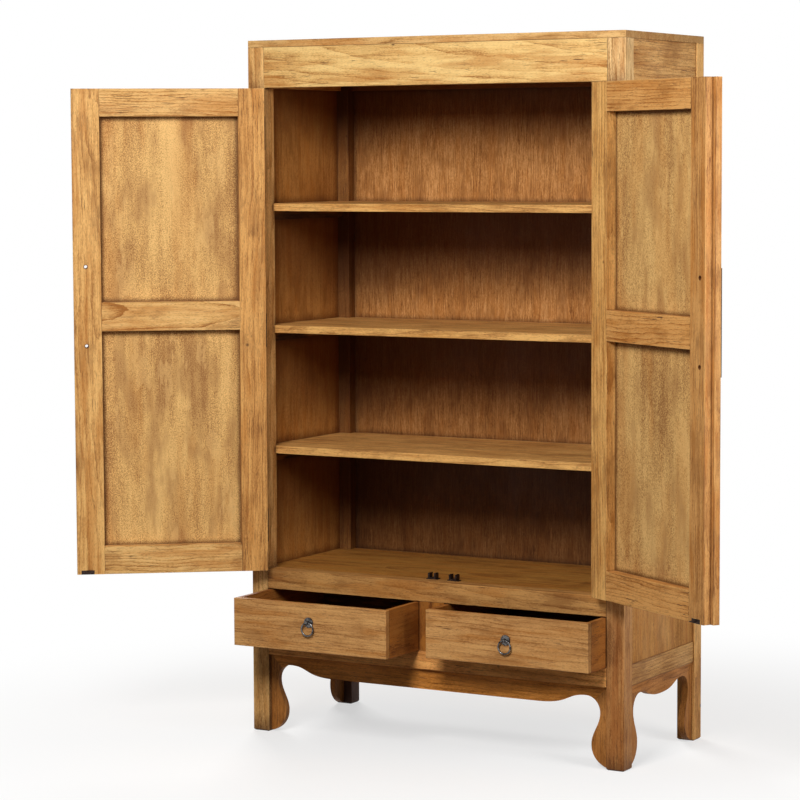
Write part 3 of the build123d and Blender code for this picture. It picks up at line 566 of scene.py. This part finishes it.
# Door panels: thin glaze over open pores, so they look sanded and cloudy, with rubbed pale patches.
PANEL_WOOD = WaxedWood("glazed_panel_wood", pale="#e5b774", base="#c99a5c", deep="#976639",
                       dirt_and_shade="#5d3716", amber_mm=(380.0, 70.0), amber_share=0.25, ring_share=0.0,
                       streak_share=0.4, streak_mm=(420.0, 22.0), fibre_mm=(30.0, 2.2),
                       fibre_share=0.25, speckle_mm=(3.4, 2.4), speckle_share=1.25,
                       cloud_mm=(380.0, 120.0), cloud_share=0.9, glaze_mm=(200.0, 60.0),
                       glaze_share=0.5, rub_share=0.35, pore_share=0.15, crack_share=0.0,
                       knot_gap_mm=900.0, dirt_and_shade_reach_mm=16.0, dirt_and_shade_span=(0.98, 0.55), dirt_and_shade_share=0.9)
# Side and back panels: warm and plain, with painted shade under each shelf; the back panels also darken towards
# the floor as painted shade.
SIDE_WOOD = WaxedWood("glazed_side_wood", pale="#d69d53", base="#bc8241", deep="#8b5823",
                      ring_share=0.1, streak_share=0.4, crack_share=0.2, knot_gap_mm=400.0,
                      cloud_share=0.5, dirt_and_shade_reach_mm=30.0, shade_share=0.8)
INSIDE_WOOD = WaxedWood("glazed_back_wood", pale="#dfa769", base="#b98044", deep="#835022",
                        ring_share=0.0, streak_mm=(500.0, 11.0), streak_share=0.35,
                        fibre_mm=(42.0, 2.7), fibre_share=0.8, speckle_share=0.5, pore_share=0.25,
                        cloud_share=0.4, amber_share=0.3, crack_share=0.0, knot_gap_mm=900.0,
                        dirt_and_shade="#47240d", dirt_and_shade_reach_mm=16.0, dirt_and_shade_share=0.6, shade_share=0.9,
                        foot_shade="#6b4f38", foot_shade_share=1.0, foot_shade_mm=1350.0, relief_mm=0.3)
# Rear posts: the left one is darker, with painted shade in its corner, under the boards and towards the foot; the
# right one is a paler copy, as painted light.
SHADED_REAR_POST_WOOD = WaxedWood("shaded_rear_post_wood", pale="#c48a49", base="#a66d34", deep="#7a491c",
                           dirt_and_shade="#3d1c08", dirt_and_shade_reach_mm=240.0, dirt_and_shade_span=(0.85, 0.4),
                           dirt_and_shade_share=0.45, shade_share=0.9, foot_shade="#75604f", foot_shade_share=1.0,
                           foot_shade_mm=420.0)
LIT_REAR_RIGHT_POST_WOOD = WaxedWood("lit_rear_right_post_wood", pale="#fbc579", base="#dea05b",
                                 deep="#a96f38", foot_shade_share=0.1)
# Shelves, floor and drawers: wider streaks, little cracking. The floor board, the drawer divider and the drawer
# sides are darker copies, as painted shade.
SHELF_WOOD = WaxedWood("waxed_shelf_wood", pale="#edb76b", base="#d19956", deep="#9b6832",
                       fibre_share=0.8, crack_share=0.3)
SHADED_FLOOR_WOOD = WaxedWood("shaded_floor_wood", pale="#b9833c", base="#a36d2f", deep="#78491a",
                       fibre_share=0.9, speckle_share=0.8, crack_share=0.4)
DRAWER_RAIL_WOOD = WaxedWood("waxed_drawer_rail_wood", pale="#c79354", base="#b17e45",
                             deep="#845324")
SHADED_DIVIDER_WOOD = WaxedWood("shaded_divider_wood", pale="#a16628", base="#8b521e", deep="#68370f")
DRAWER_WOOD = WaxedWood("waxed_drawer_wood", pale="#d6a162", base="#c28c52", deep="#93602f",
                        knot_gap_mm=300.0)
SHADED_DRAWER_SIDE_WOOD = WaxedWood("waxed_drawer_side_wood", pale="#a4682d", base="#945924",
                             deep="#703c12", knot_gap_mm=300.0)
# Sawn skirts and brackets: redder and darker, and darker towards the floor as painted shade. The front apron is a
# brighter, warmer copy, as painted light.
APRON_WOOD = WaxedWood("waxed_apron_wood", pale="#d38f4a", base="#b37436", deep="#7c481a",
                       foot_shade_share=0.4)
LIT_FRONT_APRON_WOOD = WaxedWood("lit_front_apron_wood", pale="#e39646", base="#c27b30", deep="#874d15")
# What lies in shade or out of sight is painted nearly black, as painted shade: matt.
SHADED_INNER_WOOD = WaxedWood("shaded_inner_wood", pale="#5f3d1f", base="#402612", deep="#25140a",
                      roughness=(0.8, 0.65))

CARCASS_FINISHES = {
    "front_left_post": (LEFT_POST_WOOD, Grain.UPRIGHT),
    "front_right_post": (RIGHT_POST_WOOD, Grain.UPRIGHT),
    "rear_left_post": (SHADED_REAR_POST_WOOD, Grain.UPRIGHT),
    "rear_right_post": (LIT_REAR_RIGHT_POST_WOOD, Grain.UPRIGHT),
    "top_board": (TOP_WOOD, Grain.ACROSS), "header_rail": (HEADER_WOOD, Grain.ACROSS),
    "drawer_rail": (DRAWER_RAIL_WOOD, Grain.ACROSS), "front_lower_rail": (LIT_LOW_RAIL_WOOD, Grain.ACROSS),
    "back_rails": (SIDE_WOOD, Grain.ACROSS), "back_panels": (INSIDE_WOOD, Grain.UPRIGHT),
    "left_side_rails": (FRAME_WOOD, Grain.DEEP), "right_side_rails": (FRAME_WOOD, Grain.DEEP),
    "left_side_panel": (SIDE_WOOD, Grain.UPRIGHT), "right_side_panel": (SIDE_WOOD, Grain.UPRIGHT),
    "drawer_divider": (SHADED_DIVIDER_WOOD, Grain.UPRIGHT), "floor_board": (SHADED_FLOOR_WOOD, Grain.ACROSS),
    "lower_shelf": (SHELF_WOOD, Grain.ACROSS), "middle_shelf": (SHELF_WOOD, Grain.ACROSS),
    "upper_shelf": (SHELF_WOOD, Grain.ACROSS), "shelf_cleats": (SHADED_INNER_WOOD, Grain.DEEP),
    "drawer_runners": (SHADED_INNER_WOOD, Grain.DEEP), "floor_bearers": (SHADED_INNER_WOOD, Grain.DEEP),
    "front_apron": (LIT_FRONT_APRON_WOOD, Grain.ACROSS), "front_left_bracket": (APRON_WOOD, Grain.UPRIGHT),
    "front_right_bracket": (APRON_WOOD, Grain.UPRIGHT), "left_apron": (APRON_WOOD, Grain.DEEP),
    "right_apron": (APRON_WOOD, Grain.DEEP), "side_brackets": (APRON_WOOD, Grain.UPRIGHT),
}

# Boards of one finish that are paler, redder or darker than the rest of it, by their middle tone.
BOARD_TONES = {
    "left_hinge_stile": "#c28848", "left_meeting_stile": "#ca9453",
    "right_hinge_stile": "#cd9653", "right_meeting_stile": "#b37d44",
    "left_door_rails": "#d29e5b", "right_door_rails": "#c28747",
    "left_door_panels": "#d1a260", "right_door_panels": "#c4985b",
    "right_side_rails": "#c69052",
}


def wood_on(node: str, finish: WaxedWood, grain: Grain, angle: float = 0.0, holes: tuple = ()) -> None:
    """Dress a CAD node in wood of its own, cut from its own place in the log.

    Args:
        node: The node's name.
        finish: The kind of wood and its surface.
        grain: The way its fibres run.
        angle: How far the piece is turned about Z at rest, in radians.
        holes: Pairs of a point and a direction for each bore, in metres.
    """
    low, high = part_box(node)
    turn = grain.turned(angle)
    draw = random.Random(node)
    heart = Vector((draw.uniform(-LOG_LENGTH_MM, LOG_LENGTH_MM),
                    draw.uniform(-HEART_ASIDE_MM, HEART_ASIDE_MM),
                    draw.choice((-1, 1)) * draw.uniform(*HEART_DEPTH_MM)))
    offset = heart - turn @ ((low + high) / 2 / MM)
    tone = BOARD_TONES.get(node, finish.base)
    dress(frame["nodes"][node], finish.material(node, tone, turn, offset, holes))


class HeadShape(Enum):
    """The two kinds of fastener heads."""

    SLOTTED = False
    DOMED = True


@dataclass(frozen=True)
class Fasteners:
    """Screw or tack heads of one size, set on points by geometry nodes."""

    head_radius: float = 3.2 * MM
    head_height: float = 0.9 * MM
    slot_width: float = 0.9 * MM
    slot_lift: float = 0.6            # share of the head's height, to the middle of the cutter
    cutter_length: float = 1.0        # longer than any head
    dome_flatness: float = 0.45
    facets: int = 20
    shape: HeadShape = HeadShape.SLOTTED
    seed: int = 7

    def tree(self) -> bpy.types.GeometryNodeTree:
        """Build the geometry nodes: one head, put on every point, turned at random about its own axis.

        Returns:
            The node tree, with every size as a named input.
        """
        tree = bpy.data.node_groups.new(HEADS_TREE, "GeometryNodeTree")
        sockets = (("Points", "NodeSocketGeometry"), ("Head radius", "NodeSocketFloat"),
                   ("Head height", "NodeSocketFloat"), ("Slot width", "NodeSocketFloat"),
                   ("Facing", "NodeSocketVector"), ("Domed", "NodeSocketBool"),
                   ("Seed", "NodeSocketInt"), ("Finish", "NodeSocketMaterial"))
        for name, kind in sockets:
            tree.interface.new_socket(name, in_out="INPUT", socket_type=kind)
        tree.interface.new_socket("Heads", in_out="OUTPUT", socket_type="NodeSocketGeometry")
        given = add_node(tree, "NodeGroupInput").outputs
        disc = add_node(tree, "GeometryNodeMeshCylinder", {"Vertices": self.facets,
                        "Radius": given["Head radius"], "Depth": given["Head height"]})
        cut_size = add_node(tree, "ShaderNodeCombineXYZ", {"X": self.cutter_length,
                            "Y": given["Slot width"], "Z": given["Head height"]})
        cutter = add_node(tree, "GeometryNodeMeshCube", {"Size": cut_size})
        lift = add_node(tree, "ShaderNodeMath", {0: given["Head height"], 1: self.slot_lift},
                        operation="MULTIPLY")
        raised = add_node(tree, "ShaderNodeCombineXYZ", {"Z": lift})
        moved = add_node(tree, "GeometryNodeTransform", {"Geometry": cutter, "Translation": raised})
        slotted = add_node(tree, "GeometryNodeMeshBoolean", {"Mesh 1": disc, "Mesh 2": moved},
                           operation="DIFFERENCE")
        ball = add_node(tree, "GeometryNodeMeshUVSphere", {"Segments": self.facets,
                        "Rings": self.facets // 2, "Radius": given["Head radius"]})
        dome = add_node(tree, "GeometryNodeTransform", {"Geometry": ball,
                        "Scale": (1.0, 1.0, self.dome_flatness)})
        head = add_node(tree, "GeometryNodeSwitch", {"Switch": given["Domed"], "False": slotted,
                        "True": dome}, input_type="GEOMETRY")
        placed = add_node(tree, "GeometryNodeInstanceOnPoints", {"Points": given["Points"],
                          "Instance": head, "Rotation": given["Facing"]})
        chance = add_node(tree, "FunctionNodeRandomValue", {"Max": math.pi, "Seed": given["Seed"]},
                          data_type="FLOAT")
        spin = add_node(tree, "ShaderNodeCombineXYZ", {"Z": chance.outputs[1]})
        turned = add_node(tree, "GeometryNodeRotateInstances", {"Instances": placed, "Rotation": spin,
                          "Local Space": True})
        real = add_node(tree, "GeometryNodeRealizeInstances", {"Geometry": turned})
        done = add_node(tree, "GeometryNodeSetMaterial", {"Geometry": real, "Material": given["Finish"]})
        add_node(tree, "NodeGroupOutput", {"Heads": done})
        return tree

    def place(self, name: str, body: str, points: list, facing: float,
              finish: bpy.types.Material) -> bpy.types.Object:
        """Put heads on points of an upright face and let them ride on a body.

        Args:
            name: The new piece's name.
            body: The CAD body it rides on.
            points: Where the heads stand, in metres.
            facing: Angle about Z from the front to the way that the heads look, in radians.
            finish: The heads' material.

        Returns:
            The piece, as a plain mesh.
        """
        mesh = bpy.data.meshes.new(name)
        mesh.from_pydata([tuple(p) for p in points], [], [])
        holder = bpy.data.objects.new(f"{name}_points", mesh)
        bpy.context.scene.collection.objects.link(holder)
        modifier = holder.modifiers.new("heads", "NODES")
        modifier.node_group = bpy.data.node_groups.get(HEADS_TREE) or self.tree()
        turn = (Matrix.Rotation(facing, 3, "Z") @ Matrix.Rotation(math.radians(90), 3, "X")).to_euler()
        values = {"Head radius": self.head_radius, "Head height": self.head_height,
                  "Slot width": self.slot_width, "Facing": turn, "Domed": self.shape.value,
                  "Seed": self.seed, "Finish": finish}
        for item in modifier.node_group.interface.items_tree:
            if item.in_out == "INPUT" and item.name in values:
                modifier[item.identifier] = values[item.name]
        view = bpy.context.evaluated_depsgraph_get()
        view.update()
        solid = bpy.data.meshes.new_from_object(holder.evaluated_get(view), depsgraph=view)
        bpy.data.objects.remove(holder)
        piece = bpy.data.objects.new(name, solid)
        bpy.context.scene.collection.objects.link(piece)
        dress(piece, finish)
        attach(piece, body)
        return piece


@dataclass
class Carcass:
    """The fixed frame, panels, shelves and skirt."""

    finishes: dict = field(default_factory=lambda: dict(CARCASS_FINISHES))

    def dress(self) -> None:
        """Give every fixed wooden node its wood."""
        for node, (finish, grain) in self.finishes.items():
            wood_on(node, finish, grain)


@dataclass
class DoorLeaf:
    """One framed door with its ironwork, at the angle where it rests."""

    side: str
    leaf_reach: tuple = (13.0 * MM, 25.0 * MM)
    leaf_thickness: float = 2.0 * MM
    leaf_rows: tuple = (-34.0 * MM, 0.0, 34.0 * MM)
    hinge_end: float = 120.0 * MM
    pivot_out: float = 5.0 * MM
    plate_radius: float = 131.0 * MM
    plate_thickness: float = 2.5 * MM
    tack_radius: float = 3.6 * MM
    tack_inset: float = 9.0 * MM
    tack_angles: tuple = (-84, -50, -17, 17, 50, 84)

    def __post_init__(self) -> None:
        """Read the hinge from the frame."""
        joint = next(j for j in frame["joints"] if j["name"] == f"{self.side}_door_hinge")
        self.sign = SIDES[self.side]
        self.pivot = Vector(joint["pos_m"])
        self.angle = self.sign * math.radians(joint["range_deg"][1])

    def opened(self, point: Vector) -> Vector:
        """Carry a point of the shut door to where the door rests open.

        Args:
            point: The place on the shut door, in metres.

        Returns:
            The place on the open door.
        """
        arm = Vector((point.x - self.pivot.x, point.y - self.pivot.y, 0))
        swung = Matrix.Rotation(self.angle, 3, "Z") @ arm
        return Vector((self.pivot.x + swung.x, self.pivot.y + swung.y, point.z))

    def dress(self, iron: bpy.types.Material, handled: bpy.types.Material,
              steel: bpy.types.Material) -> None:
        """Give the door's nodes their wood and metal.

        Args:
            iron: The metal of the hinges and the plate.
            handled: The metal of the ring.
            steel: The metal of the strike.
        """
        finishes = {"hinge_stile": (FRAME_WOOD, Grain.UPRIGHT), "meeting_stile": (FRAME_WOOD, Grain.UPRIGHT),
                    "door_rails": (DOOR_RAIL_WOOD, Grain.ACROSS), "door_panels": (PANEL_WOOD, Grain.UPRIGHT)}
        bores = [m for m in frame["record"]["mounts"] if m["name"].startswith(f"{self.side}_door_")]
        rims = tuple((tuple(m["pos_m"]), tuple(m["axis"])) for m in bores)
        for node, (finish, grain) in finishes.items():
            holes = rims if node == "meeting_stile" else ()
            wood_on(f"{self.side}_{node}", finish, grain, self.angle, holes)
        for node, metal in (("door_hinge_leaves", iron), ("door_plate", iron), ("door_ring", handled),
                            ("door_strike", steel)):
            dress(frame["nodes"][f"{self.side}_{node}"], metal)

    def hinge_points(self, on_post: bool) -> list:
        """Set out the screws of the three hinges, for the shut door.

        Args:
            on_post: Whether the leaves on the post are meant, and not those on the door.

        Returns:
            The screw places.
        """
        low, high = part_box(f"{self.side}_hinge_stile")
        front = self.pivot.y + self.pivot_out - self.leaf_thickness
        way = self.sign if on_post else -self.sign
        middles = (low.z + self.hinge_end, (low.z + high.z) / 2, high.z - self.hinge_end)
        return [Vector((self.pivot.x + way * self.leaf_reach[row % 2], front, middle + rise))
                for middle in middles for row, rise in enumerate(self.leaf_rows)]

    def plate_points(self) -> list:
        """Set out the tacks round the rim of the half plate of the shut door.

        Returns:
            The tack places.
        """
        low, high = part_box(f"{self.side}_door_plate")
        middle = (low.z + high.z) / 2
        face = self.pivot.y + self.pivot_out - self.plate_thickness
        reach = self.plate_radius - self.tack_inset
        return [Vector((self.sign * reach * math.cos(math.radians(a)), face,
                        middle + reach * math.sin(math.radians(a)))) for a in self.tack_angles]

    def fasten(self, iron: bpy.types.Material) -> None:
        """Put the screws in both leaves of each hinge and the tacks in the plate.

        Args:
            iron: The metal of the heads.
        """
        screws = Fasteners()
        screws.place(f"{self.side}_post_hinge_screws", "carcass", self.hinge_points(True), 0.0, iron)
        screws.place(f"{self.side}_door_hinge_screws", f"{self.side}_door",
                     [self.opened(p) for p in self.hinge_points(False)], self.angle, iron)
        tacks = Fasteners(head_radius=self.tack_radius, shape=HeadShape.DOMED)
        tacks.place(f"{self.side}_plate_tacks", f"{self.side}_door",
                    [self.opened(p) for p in self.plate_points()], self.angle, iron)


@dataclass
class DrawerBox:
    """One drawer: a waxed front on a box that is darker, as painted shade."""

    side: str

    def dress(self, handled: bpy.types.Material) -> None:
        """Give the drawer's nodes their wood and metal.

        Args:
            handled: The metal of the rosette and the ring.
        """
        finishes = {"front": (DRAWER_WOOD, Grain.ACROSS), "sides": (SHADED_DRAWER_SIDE_WOOD, Grain.DEEP),
                    "back": (SHADED_INNER_WOOD, Grain.ACROSS), "bottom": (SHADED_INNER_WOOD, Grain.ACROSS)}
        for part, (finish, grain) in finishes.items():
            wood_on(f"{self.side}_drawer_{part}", finish, grain)
        for part in ("rosette", "ring"):
            dress(frame["nodes"][f"{self.side}_drawer_{part}"], handled)


@dataclass(frozen=True)
class SoftLamp:
    """One square soft lamp, aimed at the middle of the cabinet."""

    name: str
    place: tuple
    size: float
    watts: float
    target: tuple = (0.0, 0.0, 0.95)

    def hang(self) -> None:
        """Add the lamp to the scene."""
        lamp = bpy.data.lights.new(self.name, "AREA")
        lamp.energy = self.watts
        lamp.size = self.size
        holder = bpy.data.objects.new(self.name, lamp)
        holder.location = self.place
        aim = Vector(self.target) - holder.location
        holder.rotation_euler = aim.to_track_quat("-Z", "Y").to_euler()
        bpy.context.scene.collection.objects.link(holder)


@dataclass
class Studio:
    """A pale floor, plain soft light and the camera."""

    floor_radius: float = 14.0
    floor_sides: int = 96
    fade: tuple = (0.6, 2.0)
    least_white: float = 0.6
    floor_seen: str = "#fbfaf8"
    floor_bounce: str = "#77716c"
    sky: float = 0.05
    lamps: tuple = (SoftLamp("key_light", (0.6, -3.4, 2.8), 1.2, 118.0),
                    SoftLamp("side_light", (2.85, -0.85, 1.55), 1.2, 46.0),
                    SoftLamp("back_light", (-2.4, 2.6, 2.4), 1.6, 110.0))
    eye: tuple = (3.6266, -6.7088, 1.5811)
    look_deg: tuple = (85.1418, 0.26, 29.9074)
    focal_mm: float = 126.35
    sensor_mm: float = 36.0
    shift: tuple = (0.00054, -0.00453)

    def floor(self) -> None:
        """Lay a round pale floor that keeps a soft shadow and fades into the background."""
        bpy.ops.mesh.primitive_circle_add(vertices=self.floor_sides, radius=self.floor_radius,
                                          fill_type="NGON")
        floor = bpy.context.object
        floor.name = "studio_floor"
        material, tree = new_material("pale_floor")
        coords = add_node(tree, "ShaderNodeTexCoord")
        far = add_node(tree, "ShaderNodeVectorMath", {0: coords.outputs["Object"]}, operation="LENGTH")
        fade = add_node(tree, "ShaderNodeMapRange", {"Value": far.outputs["Value"],
                        "From Min": self.fade[0], "From Max": self.fade[1],
                        "To Min": self.least_white}, interpolation_type="SMOOTHSTEP")
        seen = directly_seen(tree)
        share = add_node(tree, "ShaderNodeMath", {0: fade, 1: seen}, operation="MULTIPLY")
        tint = add_node(tree, "ShaderNodeMix", {0: seen, 6: srgb(self.floor_bounce),
                        7: srgb(self.floor_seen)}, data_type="RGBA")
        matt = add_node(tree, "ShaderNodeBsdfDiffuse", {"Color": tint.outputs[2]})
        white = add_node(tree, "ShaderNodeEmission", {"Color": srgb("#ffffff"), "Strength": 1.0})
        mixed = add_node(tree, "ShaderNodeMixShader", {0: share, 1: matt, 2: white})
        add_node(tree, "ShaderNodeOutputMaterial", {"Surface": mixed})
        dress(floor, material)

    def light(self) -> None:
        """Set a faint even sky that looks white, and hang the lamps."""
        world = bpy.data.worlds.new("studio_sky")
        bpy.context.scene.world = world
        world.use_nodes = True
        tree = world.node_tree
        tree.nodes.clear()
        seen = directly_seen(tree)
        power = add_node(tree, "ShaderNodeMapRange", {"Value": seen, "To Min": self.sky, "To Max": 1.0})
        sky = add_node(tree, "ShaderNodeBackground", {"Color": srgb("#ffffff"), "Strength": power})
        add_node(tree, "ShaderNodeOutputWorld", {"Surface": sky})
        for lamp in self.lamps:
            lamp.hang()

    def camera(self) -> None:
        """Stand the camera at the right front, a little above the middle of the cabinet."""
        data = bpy.data.cameras.new("camera")
        data.sensor_fit = "HORIZONTAL"
        data.sensor_width = self.sensor_mm
        data.lens = self.focal_mm
        data.shift_x, data.shift_y = self.shift
        camera = bpy.data.objects.new("camera", data)
        camera.location = self.eye
        camera.rotation_euler = Euler([math.radians(a) for a in self.look_deg])
        bpy.context.scene.collection.objects.link(camera)
        bpy.context.scene.camera = camera
        bpy.context.scene.view_settings.view_transform = "Standard"


def main() -> None:
    """Dress the cabinet, add what the CAD leaves out, and set up the studio."""
    logging.basicConfig(level=logging.INFO, format="%(name)s: %(message)s")
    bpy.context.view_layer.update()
    iron, handled, steel = (metal.material() for metal in (IRON, HANDLED_IRON, BROWNED_STEEL))
    for node in ("hinge_pins", "post_hinge_leaves"):
        dress(frame["nodes"][node], iron)
    dress(frame["nodes"]["floor_catches"], steel)
    Carcass().dress()
    for side in SIDES:
        door = DoorLeaf(side)
        door.dress(iron, handled, steel)
        door.fasten(iron)
        DrawerBox(side).dress(handled)
    studio = Studio()
    studio.floor()
    studio.light()
    studio.camera()


if __name__ == "__main__":
    main()
